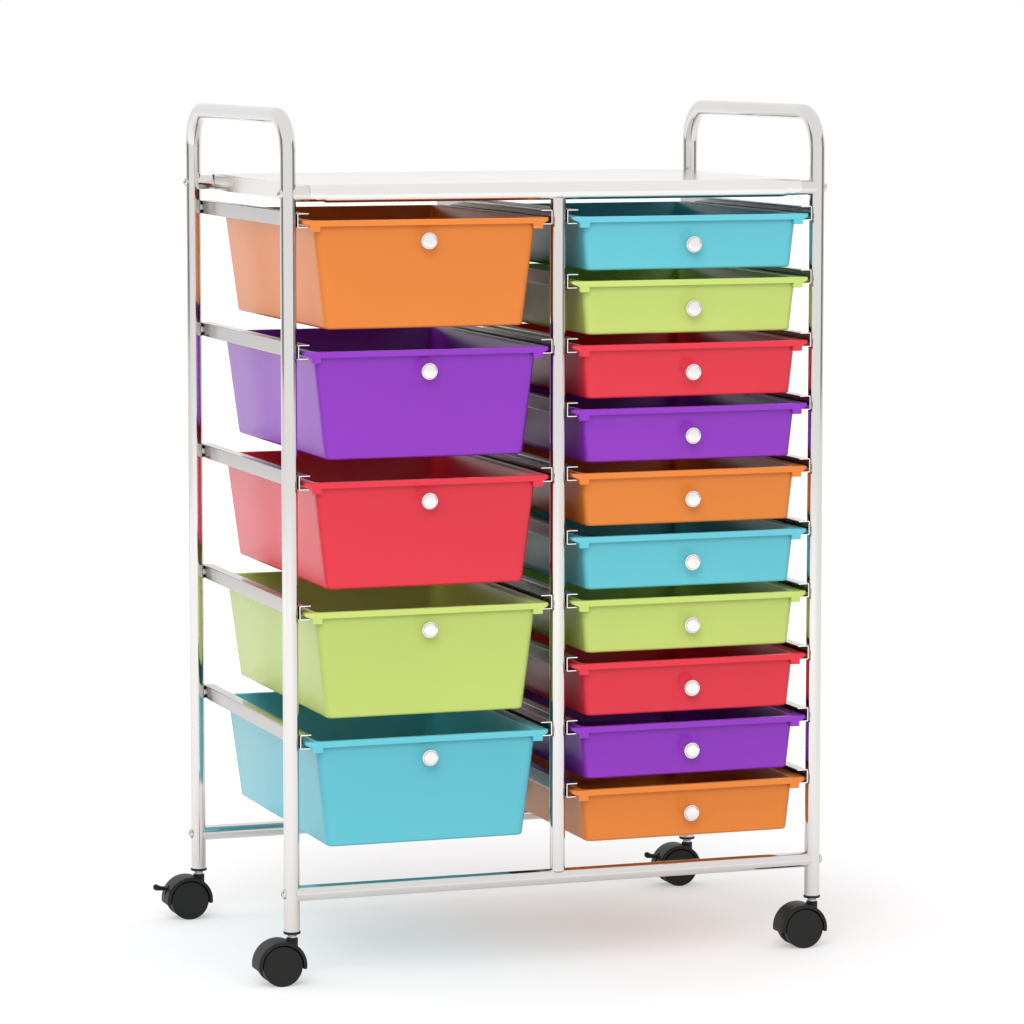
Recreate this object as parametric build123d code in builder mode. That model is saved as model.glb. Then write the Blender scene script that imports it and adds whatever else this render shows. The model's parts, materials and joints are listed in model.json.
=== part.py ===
from build123d import *
import os
from math import radians, sqrt, tan

# Rolling drawer cart: a chromed tube frame on four casters that carries two banks of
# plastic drawers on welded rails, five deep ones on the left and ten shallow ones on the right.
# Millimetres, +Z up, +Y to the back. The origin is on the floor, midway between the four posts.

# Tube frame
post_spacing_x = 605.0  # between the axes of the outer posts, left to right
post_spacing_y = 380.0  # between the axes of the posts, front to back
tube_diameter = 17.0
tube_wall = 1.2
handle_rise = 90.5  # from the axes of the upper cross tubes to the top of the handles
handle_bend_radius = 42.0  # to the tube's axis
top_tube_rise = 28.0  # from the middle of the top rails to the axes of the upper cross tubes
bottom_tube_rise = 40.5  # from the posts' feet to the axes of the lower cross tubes
post_saddle_depth = 5.0  # a cross tube's notched end reaches this far round a post
middle_saddle_depth = 2.0  # a middle post's notched end reaches this far round a cross tube
saddle_gap = 0.1

# Bolts that hold the frame together, and the plugs they screw into
bolt_diameter = 5.0
bolt_head_diameter = 9.5
bolt_head_height = 3.0
bolt_dome_round = 2.4
bolt_hole_gap = 0.2
plug_length = 14.0
plug_setback = 1.0  # from the tube's notched end
plug_fit_gap = 0.05

# Top shelf, one folded sheet that wraps the upper cross tubes
sheet_thickness = 1.0
shelf_wrap_gap = 0.15
shelf_end_gap = 13.5  # from the inner side of an outer post
shelf_flange_height = 18.0
wrap_corner_length = 20.0
wrap_corner_height = 6.0
flange_slit_width = 1.6
flange_slit_height = 5.0
flange_slit_y = 97.0

# Rails, folded channels welded to the posts
rail_height = 15.5
rail_flange = 12.5
rail_thickness = 1.0
rail_end_setback = 2.5  # behind the outer sides of the posts, front and back
lowest_rail_rise = 95.0  # from the axes of the lower cross tubes to the middle of the lowest rails
small_pitch = 69.5
small_count = 10
large_count = 5

# Drawers, moulded trays that hang by their rims
drawer_side_gap = 4.0  # from a rail's web to the rim
runner_gap = 0.3  # from a rail's lower flange to the rim
rim_height = 6.4
rim_thickness = 2.0
rim_side_width = 12.5
rim_front_width = 5.0
rim_back_width = 5.0
rim_corner_radius = 5.0
rim_edge_round = 0.9
lip_reach = 3.5  # in front of the front posts
lip_end_rise = 3.5
lip_end_depth = 5.5
tray_length = 357.0
tray_wall = 2.2
tray_corner_radius = 8.0
tray_bottom_round = 3.0
front_draft = 2.0  # degrees
back_draft = 3.5
large_tray_gap = 23.0  # under a large tray, to the rim of the next one
large_side_draft = 6.9
large_knob_drop = 22.5
small_tray_gap = 11.0  # under a small tray, to the rim of the next one
small_side_draft = 5.9
small_knob_drop = 31.0
stop_width = 10.6
stop_height = 5.2
stop_gap = 0.4

# Knobs, each held by a screw from inside its drawer
knob_diameter = 18.0
knob_foot_diameter = 10.0
knob_neck_diameter = 7.6
knob_neck_height = 3.6
knob_rim_height = 9.0
knob_rim_width = 2.2
knob_dome = 2.0
screw_diameter = 3.5
screw_head_diameter = 7.0
screw_head_height = 2.2
screw_depth = 7.0
screw_gap = 0.1

# Casters
wheel_diameter = 44.0
wheel_width = 10.2
wheel_edge_round = 1.6
wheel_face = 2.0  # thickness of the closed outer face over the axle's end
wheel_side_gap = 0.4
caster_trail = 14.0
web_width = 8.8
hub_radius = 9.0
fender_gap = 1.2
fender_thickness = 3.8
fender_drop = 3.8  # how far the fender's ends reach below the axle
fender_round = 1.5
neck_diameter = 12.8
neck_height = 28.0  # above the axle
neck_root = 8.0
axle_diameter = 4.0
running_gap = 0.05
press_gap = 0.02
stem_pin_diameter = 6.0
stem_pin_length = 16.0
stem_end_gap = 0.5
stem_shoulder_lip = 1.0  # past the stud's outside
stem_shoulder_height = 4.2
swivel_gap = 0.3
stud_share = 0.55  # of the socket's radius
socket_length = 24.0
socket_flange_lip = 0.8  # past the tube's outside
socket_flange_height = 3.0

# Brake levers of the back casters
lever_pivot_x = -12.3  # from the axle
lever_pivot_z = 10.3
lever_reach_x = -25.0  # from the pivot to the tip
lever_reach_z = 5.7
lever_thickness = 4.6
lever_arm_diameter = 4.2
lever_hub_diameter = 8.0
lever_tip_diameter = 6.4
lever_travel = 20.0  # degrees
lever_side_gap = 0.3
lever_pin_diameter = 3.0

# Places that follow from the sizes above
post_x = post_spacing_x / 2
post_y = post_spacing_y / 2
tube_radius = tube_diameter / 2
tube_bore_radius = tube_radius - tube_wall
socket_radius = tube_bore_radius - plug_fit_gap
stud_radius = socket_radius * stud_share
bolt_hole_radius = bolt_diameter / 2 + bolt_hole_gap
wheel_radius = wheel_diameter / 2
axle_z = wheel_radius
neck_top_z = axle_z + neck_height
shoulder_z = neck_top_z + swivel_gap
flange_z = shoulder_z + stem_shoulder_height
post_foot_z = flange_z + socket_flange_height
bottom_tube_z = post_foot_z + bottom_tube_rise
top_rail_z = bottom_tube_z + lowest_rail_rise + small_pitch * (small_count - 1)
top_tube_z = top_rail_z + top_tube_rise
handle_axis_z = top_tube_z + handle_rise - tube_radius
wrap_radius = tube_radius + shelf_wrap_gap + sheet_thickness
shelf_top_z = top_tube_z + wrap_radius
shelf_half_length = post_x - tube_radius - shelf_end_gap
rail_half_length = post_y + tube_radius - rail_end_setback
lip_projection = tube_radius + lip_reach
bank_width = post_x
rim_width = bank_width - tube_diameter - 2 * (rail_thickness + drawer_side_gap)
skirt_bottom = runner_gap + rail_thickness - rail_height / 2
rim_top = skirt_bottom + rim_height
large_pitch = 2 * small_pitch
large_tray_depth = large_pitch - large_tray_gap
small_tray_depth = small_pitch - small_tray_gap
small_rail_heights = [top_rail_z - small_pitch * i for i in range(small_count)]
large_rail_heights = [top_rail_z - large_pitch * i for i in range(large_count)]
corner_posts = [(x, y) for x in (-post_x, post_x) for y in (-post_y, post_y)]
cross_tubes = {
    "top_tube_front": (-post_y, top_tube_z),
    "top_tube_back": (post_y, top_tube_z),
    "bottom_tube_front": (-post_y, bottom_tube_z),
    "bottom_tube_back": (post_y, bottom_tube_z),
}

os.makedirs("parts", exist_ok=True)


def save(piece, name):
    """Label a finished piece and write it to its own file."""
    piece.part.label = name
    export_step(piece.part, f"parts/{name}.step")


# Side frames: each is one tube, bent over at the top into a push handle
for side, name in ((-1, "side_frame_left"), (1, "side_frame_right")):
    post_plane = Plane.YZ.offset(side * post_x)
    with BuildPart() as side_frame:
        with BuildLine(post_plane):
            FilletPolyline(
                (-post_y, post_foot_z),
                (-post_y, handle_axis_z),
                (post_y, handle_axis_z),
                (post_y, post_foot_z),
                radius=handle_bend_radius,
            )
        with BuildSketch(Plane((side * post_x, -post_y, post_foot_z))):
            Circle(tube_radius)
            Circle(tube_bore_radius, mode=Mode.SUBTRACT)
        sweep()
        with BuildSketch(post_plane):
            with Locations(*cross_tubes.values()):
                Circle(bolt_hole_radius)
        extrude(amount=tube_diameter, both=True, mode=Mode.SUBTRACT)
    save(side_frame, name)

# Cross tubes: notched to sit round the posts, and drilled for the middle posts' bolts.
# Each bolt's head goes in through a wider hole in the far wall.
cross_half_length = post_x - tube_radius + post_saddle_depth
head_hole_radius = bolt_head_diameter / 2 + bolt_hole_gap
for name, (y, z) in cross_tubes.items():
    towards_middle_post = -1 if z == top_tube_z else 1
    with BuildPart() as cross_tube:
        with BuildSketch(Plane.YZ):
            with Locations((y, z)):
                Circle(tube_radius)
                Circle(tube_bore_radius, mode=Mode.SUBTRACT)
        extrude(amount=cross_half_length, both=True)
        with BuildSketch(Plane.XY.offset(z)):
            with Locations((-post_x, y), (post_x, y)):
                Circle(tube_radius + saddle_gap)
        extrude(amount=tube_diameter, both=True, mode=Mode.SUBTRACT)
        with BuildSketch(Plane.XY.offset(z)):
            with Locations((0, y)):
                Circle(bolt_hole_radius)
        extrude(amount=towards_middle_post * tube_diameter, mode=Mode.SUBTRACT)
        with BuildSketch(Plane.XY.offset(z)):
            with Locations((0, y)):
                Circle(head_hole_radius)
        extrude(amount=-towards_middle_post * tube_diameter, mode=Mode.SUBTRACT)
    save(cross_tube, name)

# Middle posts: they stand on the lower cross tubes and end under the shelf's wrap
upper_seat_radius = wrap_radius + saddle_gap
lower_seat_radius = tube_radius + saddle_gap
middle_post_top_z = top_tube_z - upper_seat_radius + middle_saddle_depth
middle_post_foot_z = bottom_tube_z + lower_seat_radius - middle_saddle_depth
for y, name in ((-post_y, "middle_post_front"), (post_y, "middle_post_back")):
    with BuildPart() as middle_post:
        with BuildSketch(Plane((0, y, middle_post_foot_z))):
            Circle(tube_radius)
            Circle(tube_bore_radius, mode=Mode.SUBTRACT)
        extrude(amount=middle_post_top_z - middle_post_foot_z)
        with BuildSketch(Plane.YZ):
            with Locations((y, top_tube_z)):
                Circle(upper_seat_radius)
            with Locations((y, bottom_tube_z)):
                Circle(lower_seat_radius)
        extrude(amount=tube_diameter, both=True, mode=Mode.SUBTRACT)
    save(middle_post, name)

# Top shelf: a sheet rolled over both upper cross tubes, with a turned-down flange at each end
with BuildPart() as top_shelf:
    with BuildSketch(Plane.YZ):
        with Locations((0, top_tube_z)):
            SlotCenterToCenter(post_spacing_y, 2 * wrap_radius)
            SlotCenterToCenter(post_spacing_y, 2 * (wrap_radius - sheet_thickness), mode=Mode.SUBTRACT)
            Rectangle(
                post_spacing_y, 2 * wrap_radius, align=(Align.CENTER, Align.MAX), mode=Mode.SUBTRACT
            )
    extrude(amount=shelf_half_length, both=True)
    for side in (-1, 1):
        with BuildSketch(Plane.YZ.offset(side * shelf_half_length)):
            with Locations((0, shelf_top_z)):
                Rectangle(post_spacing_y, shelf_flange_height, align=(Align.CENTER, Align.MAX))
            with Locations((-post_y, top_tube_z), (post_y, top_tube_z)):
                Circle(wrap_radius - sheet_thickness, mode=Mode.SUBTRACT)
            with Locations((flange_slit_y, shelf_top_z - shelf_flange_height / 2)):
                SlotOverall(flange_slit_height, flange_slit_width, rotation=90, mode=Mode.SUBTRACT)
        extrude(amount=-side * sheet_thickness)
    for end in (-1, 1):
        with BuildSketch(Plane.XZ.offset(-end * post_y)):
            for side in (-1, 1):
                with BuildLine():
                    Polyline(
                        (side * (shelf_half_length - wrap_corner_length), top_tube_z - wrap_radius),
                        (side * shelf_half_length, top_tube_z - wrap_radius + wrap_corner_height),
                        (side * shelf_half_length, top_tube_z - wrap_radius),
                        close=True,
                    )
                make_face()
        extrude(amount=-end * wrap_radius, mode=Mode.SUBTRACT)
    with BuildSketch(Plane.XY.offset(top_tube_z)):
        with Locations((0, -post_y), (0, post_y)):
            Circle(bolt_hole_radius)
    extrude(amount=-2 * wrap_radius, mode=Mode.SUBTRACT)
save(top_shelf, "top_shelf")

# Rails: open channels, one on each side of every drawer, welded to the posts by their webs
rail_banks = {
    "rails_left_outer": (-post_x + tube_radius, 1, large_rail_heights),
    "rails_left_inner": (-tube_radius, -1, large_rail_heights),
    "rails_right_inner": (tube_radius, 1, small_rail_heights),
    "rails_right_outer": (post_x - tube_radius, -1, small_rail_heights),
}
for name, (web_x, opening, heights) in rail_banks.items():
    web_side = (Align.MIN if opening > 0 else Align.MAX, Align.CENTER)
    with BuildPart() as rails:
        with BuildSketch(Plane.XZ):
            with Locations(*[(web_x, z) for z in heights]):
                Rectangle(rail_flange, rail_height, align=web_side)
            with Locations(*[(web_x + opening * rail_thickness, z) for z in heights]):
                Rectangle(
                    rail_flange, rail_height - 2 * rail_thickness, align=web_side, mode=Mode.SUBTRACT
                )
        extrude(amount=rail_half_length, both=True)
    save(rails, name)

# Plugs pressed into the ends of the cross tubes and the middle posts
end_plug_x = post_x - tube_radius - saddle_gap - plug_setback
upper_plug_z = top_tube_z - upper_seat_radius - plug_setback
lower_plug_z = bottom_tube_z + lower_seat_radius + plug_setback
with BuildPart() as tube_end_plugs:
    for side in (-1, 1):
        with BuildSketch(Plane.YZ.offset(side * end_plug_x)):
            with Locations(*cross_tubes.values()):
                Circle(tube_bore_radius - plug_fit_gap)
                Circle(bolt_diameter / 2 + plug_fit_gap, mode=Mode.SUBTRACT)
        extrude(amount=-side * plug_length)
    for z, direction in ((upper_plug_z, -1), (lower_plug_z, 1)):
        with BuildSketch(Plane.XY.offset(z)):
            with Locations((0, -post_y), (0, post_y)):
                Circle(tube_bore_radius - plug_fit_gap)
                Circle(bolt_diameter / 2 + plug_fit_gap, mode=Mode.SUBTRACT)
        extrude(amount=direction * plug_length)
save(tube_end_plugs, "tube_end_plugs")

# Bolts: one from outside through each post at each cross tube, with a domed head that is
# hollowed to sit on the round tube, and one inside each cross tube that holds a middle post
head_radius = bolt_head_diameter / 2
corner_shank_end = end_plug_x - plug_length
inner_head_seat = sqrt(tube_bore_radius**2 - head_radius**2) - plug_fit_gap
with BuildPart() as frame_bolts:
    for side in (-1, 1):
        with BuildSketch(Plane.YZ.offset(side * post_x)):
            with Locations(*cross_tubes.values()):
                Circle(head_radius)
        extrude(amount=side * (tube_radius + bolt_head_height))
        outermost = -1 if side > 0 else 0
        fillet(frame_bolts.edges().group_by(Axis.X)[outermost], bolt_dome_round)
        with BuildSketch(Plane.XY.offset(bottom_tube_z - tube_diameter)):
            with Locations((side * post_x, -post_y), (side * post_x, post_y)):
                Circle(tube_radius)
        extrude(amount=top_tube_z - bottom_tube_z + 2 * tube_diameter, mode=Mode.SUBTRACT)
        with BuildSketch(Plane.YZ.offset(side * corner_shank_end)):
            with Locations(*cross_tubes.values()):
                Circle(bolt_diameter / 2)
        extrude(amount=side * (post_x + tube_radius - corner_shank_end + bolt_head_height / 2))
    for z, direction, plug_z in ((top_tube_z, -1, upper_plug_z), (bottom_tube_z, 1, lower_plug_z)):
        seat_z = z + direction * inner_head_seat
        with BuildSketch(Plane.XY.offset(seat_z)):
            with Locations((0, -post_y), (0, post_y)):
                Circle(head_radius)
        extrude(amount=-direction * bolt_head_height)
        with BuildSketch(Plane.XY.offset(seat_z)):
            with Locations((0, -post_y), (0, post_y)):
                Circle(bolt_diameter / 2)
        extrude(amount=plug_z - seat_z + direction * plug_length)
save(frame_bolts, "frame_bolts")

# Sockets pressed into the posts' feet, and the caster stems that screw into them
with BuildPart() as caster_sockets:
    with BuildSketch(Plane.XY.offset(flange_z)):
        with Locations(*corner_posts):
            Circle(tube_radius + socket_flange_lip)
    extrude(amount=socket_flange_height)
    with BuildSketch(Plane.XY.offset(post_foot_z)):
        with Locations(*corner_posts):
            Circle(socket_radius)
    extrude(amount=socket_length)
    with BuildSketch(Plane.XY.offset(flange_z)):
        with Locations(*corner_posts):
            Circle(stud_radius + press_gap)
    extrude(amount=socket_flange_height + socket_length, mode=Mode.SUBTRACT)
save(caster_sockets, "caster_sockets")

with BuildPart() as caster_stems:
    with BuildSketch(Plane.XY.offset(shoulder_z)):
        with Locations(*corner_posts):
            Circle(stud_radius + stem_shoulder_lip)
    extrude(amount=stem_shoulder_height)
    with BuildSketch(Plane.XY.offset(flange_z)):
        with Locations(*corner_posts):
            Circle(stud_radius)
    extrude(amount=socket_flange_height + socket_length)
    with BuildSketch(Plane.XY.offset(shoulder_z)):
        with Locations(*corner_posts):
            Circle(stem_pin_diameter / 2)
    extrude(amount=-stem_pin_length)
save(caster_stems, "caster_stems")


def tray_section(depth, side_draft, inset):
    """Width, length and middle of a tray at a depth below its rim, inside the given inset."""
    width = rim_width - 2 * (rim_side_width + depth * tan(radians(side_draft)) + inset)
    front = rim_front_width - lip_projection + depth * tan(radians(front_draft)) + inset
    back = rim_front_width - lip_projection + tray_length - depth * tan(radians(back_draft)) - inset
    return width, back - front, (front + back) / 2


def knob_seat(knob_drop):
    """Middle of a knob's foot on the sloping front wall, seen from the drawer's own origin."""
    depth = rim_top + knob_drop
    return (0, rim_front_width - lip_projection + depth * tan(radians(front_draft)), -knob_drop)


# The drawer's own origin is midway between its rails, over the axes of the front posts
rim_length = rim_front_width + tray_length + rim_back_width
rim_middle_y = rim_length / 2 - lip_projection
stop_outer_x = bank_width / 2 - tube_radius - rail_flange - stop_gap


def make_tray(tray_depth, side_draft, knob_drop):
    """A moulded tray with sloping walls, a turned-down rim and two stop blocks under its front lip."""
    cavity_depth = tray_depth - tray_wall
    with BuildPart() as tray:
        for depth in (0, tray_depth):
            width, length, middle = tray_section(depth, side_draft, 0)
            with BuildSketch(Plane((0, middle, rim_top - depth))):
                RectangleRounded(width, length, tray_corner_radius)
        loft()
        fillet(tray.edges().group_by(Axis.Z)[0], tray_bottom_round)
        with BuildSketch(Plane((0, rim_middle_y, rim_top))):
            RectangleRounded(rim_width, rim_length, rim_corner_radius)
        extrude(amount=-rim_thickness)
        with BuildSketch(Plane((0, rim_middle_y, rim_top))):
            RectangleRounded(rim_width, rim_length, rim_corner_radius)
            RectangleRounded(
                rim_width - 2 * rim_thickness,
                rim_length - 2 * rim_thickness,
                rim_corner_radius - rim_thickness,
                mode=Mode.SUBTRACT,
            )
        extrude(amount=-rim_height)
        fillet(tray.edges().group_by(Axis.Z)[-1], rim_edge_round)
        with BuildSketch(Plane.XZ.offset(lip_projection)):
            for side, edge in ((-1, Align.MIN), (1, Align.MAX)):
                with Locations((side * stop_outer_x, skirt_bottom + rim_thickness)):
                    Rectangle(stop_width, stop_height + rim_thickness, align=(edge, Align.MAX))
        extrude(amount=-rim_front_width)
        with BuildSketch(Plane.XZ.offset(lip_projection)):
            for side in (-1, 1):
                with BuildLine():
                    Polyline(
                        (side * stop_outer_x, skirt_bottom),
                        (side * rim_width / 2, skirt_bottom + lip_end_rise),
                        (side * rim_width / 2, skirt_bottom),
                        close=True,
                    )
                make_face()
        extrude(amount=-lip_end_depth, mode=Mode.SUBTRACT)
        for depth in (0, cavity_depth):
            width, length, middle = tray_section(depth, side_draft, tray_wall)
            with BuildSketch(Plane((0, middle, rim_top - depth))):
                RectangleRounded(width, length, tray_corner_radius - tray_wall)
        loft(mode=Mode.SUBTRACT)
        knob_plane = Plane(Location(knob_seat(knob_drop), (90 + front_draft, 0, 0)))
        with BuildSketch(knob_plane):
            Circle(screw_diameter / 2 + screw_gap)
        extrude(amount=2 * tray_wall, both=True, mode=Mode.SUBTRACT)
    return tray


# A knob and its screw, with the wall's outer face at Y = 0 and the knob towards -Y
with BuildPart() as knob_and_screw:
    with BuildSketch(Plane.XY):
        with BuildLine():
            foot = Line((0, 0), (knob_foot_diameter / 2, 0))
            neck = Line(foot @ 1, (knob_neck_diameter / 2, -knob_neck_height))
            flare = TangentArc(neck @ 1, (knob_diameter / 2, -knob_rim_height), tangent=(0, -1))
            rim = Line(flare @ 1, (knob_diameter / 2, -knob_rim_height - knob_rim_width))
            face = TangentArc(
                (0, -knob_rim_height - knob_rim_width - knob_dome), rim @ 1, tangent=(1, 0)
            )
            Line(face @ 0, (0, 0))
        make_face()
    revolve(axis=Axis.Y)
    with BuildSketch(Plane.XZ):
        Circle(screw_diameter / 2 + screw_gap)
    extrude(amount=screw_depth + screw_gap, mode=Mode.SUBTRACT)
    with BuildSketch(Plane.XZ.offset(-tray_wall)):
        Circle(screw_head_diameter / 2)
    extrude(amount=-screw_head_height)
    with BuildSketch(Plane.XZ.offset(-tray_wall)):
        Circle(screw_diameter / 2)
    extrude(amount=tray_wall + screw_depth)

# Drawers and their knobs, from the top rail down
drawer_banks = {
    "large": (-1, large_rail_heights, large_tray_depth, large_side_draft, large_knob_drop),
    "small": (1, small_rail_heights, small_tray_depth, small_side_draft, small_knob_drop),
}
for size, (side, heights, tray_depth, side_draft, knob_drop) in drawer_banks.items():
    tray = make_tray(tray_depth, side_draft, knob_drop)
    for number, z in enumerate(heights, start=1):
        place = Location((side * bank_width / 2, -post_y, z))
        with BuildPart() as drawer:
            with Locations(place):
                add(tray.part)
        save(drawer, f"{size}_drawer_{number}")
        with BuildPart() as knob:
            with Locations(place * Location(knob_seat(knob_drop), (front_draft, 0, 0))):
                add(knob_and_screw.part)
        save(knob, f"{size}_knob_{number}")

# Caster pieces, made with the stem's axis at X = Y = 0
web_half = web_width / 2
hood_half = web_half + wheel_side_gap + wheel_width
well_radius = wheel_radius + fender_gap
fender_radius = well_radius + fender_thickness
axle_x = -caster_trail
pivot_x = axle_x + lever_pivot_x
pivot_z = axle_z + lever_pivot_z
lever_length = sqrt(lever_reach_x**2 + lever_reach_z**2)
lever_slot_half = lever_thickness / 2 + lever_side_gap

# The space that the brake lever swings in, and the hole for its pin
with BuildPart() as lever_slot:
    with BuildSketch(Plane.XZ):
        with Locations((pivot_x, pivot_z)):
            Circle(lever_hub_diameter / 2 + lever_side_gap)
        for angle in (0, lever_travel / 2, lever_travel):
            swung = Vector(lever_reach_x, lever_reach_z).rotate(Axis.Z, angle)
            middle = (pivot_x + swung.X / 2, pivot_z + swung.Y / 2)
            tilt = Vector(1, 0).get_signed_angle(swung)
            with Locations(Location((*middle, 0), (0, 0, tilt))):
                Rectangle(lever_length, 2 * lever_slot_half)
    extrude(amount=lever_slot_half, both=True)
    with BuildSketch(Plane.XZ):
        with Locations((pivot_x, pivot_z)):
            Circle(lever_pin_diameter / 2 + press_gap)
    extrude(amount=web_width, both=True)


def make_hood(has_brake):
    """The fork between the two wheels, with a fender over both and, on a braked one, a lever slot."""
    with BuildPart() as hood:
        with BuildSketch(Plane.XZ):
            with Locations((axle_x, axle_z)):
                Circle(fender_radius)
            with Locations((axle_x, axle_z - fender_drop)):
                Rectangle(
                    2 * fender_radius,
                    fender_radius,
                    align=(Align.CENTER, Align.MAX),
                    mode=Mode.SUBTRACT,
                )
            with Locations((axle_x, axle_z)):
                Circle(hub_radius)
        extrude(amount=hood_half, both=True)
        rims = hood.edges().filter_by(GeomType.CIRCLE)
        fillet([rim for rim in rims if abs(rim.radius - fender_radius) < fender_round], fender_round)
        with BuildSketch(Plane.XY.offset(axle_z + neck_root)):
            Circle(neck_diameter / 2)
        extrude(amount=neck_height - neck_root)
        for side in (-1, 1):
            with BuildSketch(Plane.XZ.offset(side * web_half)):
                with Locations((axle_x, axle_z)):
                    Circle(well_radius)
            extrude(amount=side * hood_half, mode=Mode.SUBTRACT)
        with BuildSketch(Plane.XY.offset(neck_top_z)):
            Circle(stem_pin_diameter / 2 + running_gap)
        extrude(amount=-(stem_pin_length + stem_end_gap), mode=Mode.SUBTRACT)
        with BuildSketch(Plane.XZ):
            with Locations((axle_x, axle_z)):
                Circle(axle_diameter / 2 + running_gap)
        extrude(amount=web_width, both=True, mode=Mode.SUBTRACT)
        if has_brake:
            add(lever_slot.part, mode=Mode.SUBTRACT)
    return hood


# Two wheels pressed on one axle, which turns in the hood's web
with BuildPart() as wheel_pair:
    for side in (-1, 1):
        with BuildSketch(Plane.XZ.offset(side * (web_half + wheel_side_gap))):
            with Locations((axle_x, axle_z)):
                Circle(wheel_radius)
        extrude(amount=side * wheel_width)
    fillet(wheel_pair.edges().filter_by(GeomType.CIRCLE), wheel_edge_round)
    axle_half = hood_half - wheel_face
    with BuildSketch(Plane.XZ):
        with Locations((axle_x, axle_z)):
            Circle(axle_diameter / 2 + press_gap)
    extrude(amount=axle_half, both=True, mode=Mode.SUBTRACT)
    with BuildSketch(Plane.XZ):
        with Locations((axle_x, axle_z)):
            Circle(axle_diameter / 2)
    extrude(amount=axle_half - press_gap, both=True)

# Brake lever: a hub on a cross pin and a round arm with a ball tip for the foot
arm_plane = Plane((pivot_x, 0, pivot_z), x_dir=(lever_reach_x, 0, lever_reach_z), z_dir=(0, -1, 0))
arm_radius = lever_arm_diameter / 2
tip_radius = lever_tip_diameter / 2
tip_start = lever_length - sqrt(tip_radius**2 - arm_radius**2)
with BuildPart() as brake_lever:
    with BuildSketch(arm_plane):
        with BuildLine():
            Polyline((lever_length + tip_radius, 0), (0, 0), (0, arm_radius), (tip_start, arm_radius))
            ThreePointArc(
                (tip_start, arm_radius), (lever_length, tip_radius), (lever_length + tip_radius, 0)
            )
        make_face()
    revolve(axis=Axis(arm_plane.origin, arm_plane.x_dir))
    with BuildSketch(Plane.XZ):
        with Locations((pivot_x, pivot_z)):
            Circle(lever_hub_diameter / 2)
    extrude(amount=lever_thickness / 2, both=True)
    with BuildSketch(Plane.XZ):
        with Locations((pivot_x, pivot_z)):
            Circle(lever_pin_diameter / 2 + running_gap)
    extrude(amount=lever_thickness, both=True, mode=Mode.SUBTRACT)

with BuildPart() as brake_pin:
    with BuildSketch(Plane.XZ):
        with Locations((pivot_x, pivot_z)):
            Circle(lever_pin_diameter / 2)
    extrude(amount=web_half, both=True)

hoods = {False: make_hood(False), True: make_hood(True)}
caster_places = {
    "front_left": (-post_x, -post_y, False),
    "front_right": (post_x, -post_y, False),
    "back_left": (-post_x, post_y, True),
    "back_right": (post_x, post_y, True),
}
for corner, (x, y, has_brake) in caster_places.items():
    pieces = {"caster_hood": hoods[has_brake], "caster_wheels": wheel_pair}
    if has_brake:
        pieces["brake_lever"] = brake_lever
        pieces["brake_pin"] = brake_pin
    for kind, shape in pieces.items():
        with BuildPart() as caster_piece:
            with Locations((x, y, 0)):
                add(shape.part)
        save(caster_piece, f"{kind}_{corner}")
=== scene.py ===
import json
from math import atan2, cos, degrees, pi, radians, sin, sqrt, tan

import bmesh
import bpy
from bpy.props import FloatProperty, FloatVectorProperty, IntProperty, PointerProperty
from mathutils import Matrix, Vector


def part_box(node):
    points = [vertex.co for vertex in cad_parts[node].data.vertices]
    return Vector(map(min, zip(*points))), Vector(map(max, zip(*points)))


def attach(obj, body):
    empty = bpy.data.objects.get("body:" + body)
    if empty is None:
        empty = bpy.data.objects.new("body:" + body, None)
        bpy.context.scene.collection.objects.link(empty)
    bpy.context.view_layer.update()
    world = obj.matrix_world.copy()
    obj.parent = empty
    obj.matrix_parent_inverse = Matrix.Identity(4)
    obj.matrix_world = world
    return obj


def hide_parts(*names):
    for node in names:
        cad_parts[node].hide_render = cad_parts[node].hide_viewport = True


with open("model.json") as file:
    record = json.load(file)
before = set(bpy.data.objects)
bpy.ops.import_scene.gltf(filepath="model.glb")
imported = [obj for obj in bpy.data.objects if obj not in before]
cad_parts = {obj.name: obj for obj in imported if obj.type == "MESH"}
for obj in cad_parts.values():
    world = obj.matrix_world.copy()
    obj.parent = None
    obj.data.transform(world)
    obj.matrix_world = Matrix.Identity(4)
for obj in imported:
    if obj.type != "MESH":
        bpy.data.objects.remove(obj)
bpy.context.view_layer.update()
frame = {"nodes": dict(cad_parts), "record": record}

bl_info = {
    "name": "Rolling drawer cart",
    "version": (1, 0, 0),
    "blender": (4, 5, 0),
    "location": "3D View > Sidebar > Cart",
    "description": "Dresses a chromed drawer cart: tubes, rails, shelf, drawers, knobs and casters",
    "category": "Object",
}

MM = 0.001
POLE_RADIUS = 1e-9  # a smaller radius closes a turned shape in one point


def low_high(node, axis):
    """Lowest and highest place of a node along one axis."""
    low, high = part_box(node)
    return low[axis], high[axis]


def middle(node, axis):
    """Middle of a node along one axis."""
    return sum(low_high(node, axis)) / 2


def extent(node, axis):
    """Size of a node along one axis."""
    low, high = low_high(node, axis)
    return high - low


# Places and sizes that the frame gives
TUBE_RADIUS = extent("side_frame_right", 0) / 2
POST_X = middle("side_frame_right", 0)
POST_Y = extent("side_frame_right", 1) / 2 - TUBE_RADIUS
FOOT_Z, HANDLE_TOP_Z = low_high("side_frame_right", 2)
TOP_TUBE_Z = middle("top_tube_front", 2)
BOTTOM_TUBE_Z = middle("bottom_tube_front", 2)
SHELF_HALF = extent("top_shelf", 0) / 2
SHELF_LOW_Z, SHELF_TOP_Z = low_high("top_shelf", 2)
WRAP_RADIUS = extent("top_shelf", 1) / 2 - POST_Y
RAIL_FLANGE = extent("rails_left_outer", 0)
RAIL_HALF_LENGTH = extent("rails_left_outer", 1) / 2
LARGE_COUNT = sum(name.startswith("large_drawer") for name in frame["nodes"])
SMALL_COUNT = sum(name.startswith("small_drawer") for name in frame["nodes"])
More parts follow.
